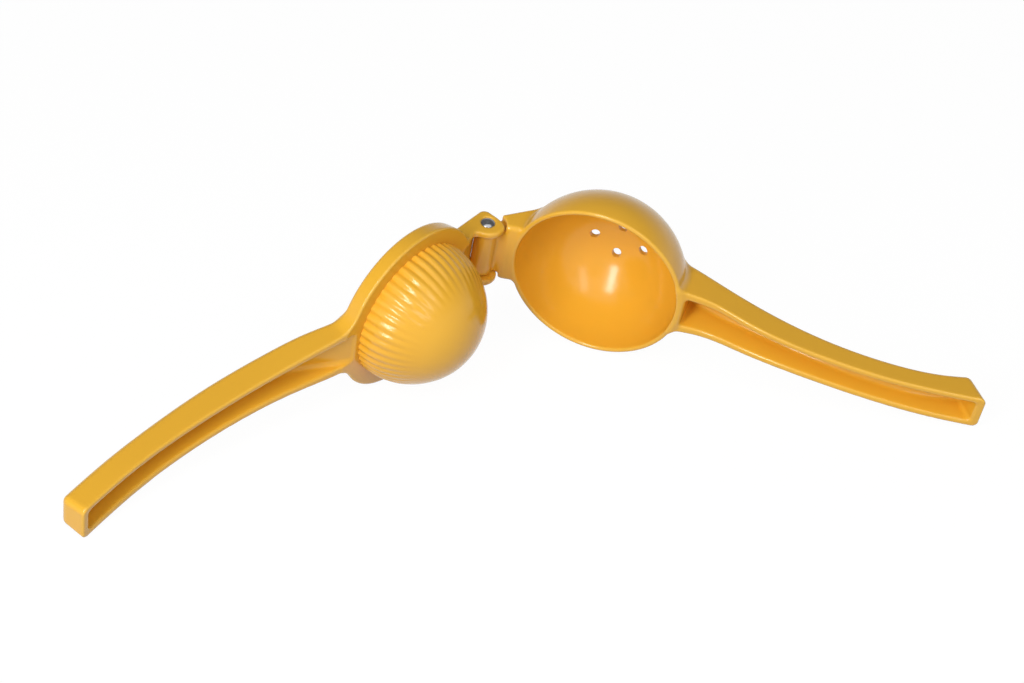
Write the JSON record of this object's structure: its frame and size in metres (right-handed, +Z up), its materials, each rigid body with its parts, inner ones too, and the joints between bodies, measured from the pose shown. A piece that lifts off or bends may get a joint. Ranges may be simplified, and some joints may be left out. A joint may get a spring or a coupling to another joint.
{
  "type": "hinged lemon squeezer",
  "caption": "Two-handled hinged citrus squeezer lying open: a pierced bowl arm and a ribbed dome arm on one pin.",
  "frame": {"origin": "centre of the bottom face of the bounding box, with the squeezer lying open on a table", "axes": "+X across the opened arms, towards the cup arm's handle; +Y from the handle ends towards the hinge; +Z up"},
  "size_m": [0.3604, 0.1314, 0.0738],
  "materials": {
    "enamel": "glossy yellow enamel over a light metal casting",
    "pin_steel": "polished"
  },
  "bodies": {
    "cup_body": {"cup_arm": "enamel"},
    "press_body": {"press_arm": "enamel", "hinge_pin": "pin_steel"}
  },
  "joints": [
    {"name": "hinge_pivot", "type": "hinge", "parent": "cup_body", "child": "press_body", "pos_m": [0.00397, 0.05099, 0.04441], "axis": [0, -0.3096, 0.9509], "range_deg": [-68, 109.5]}
  ]
}
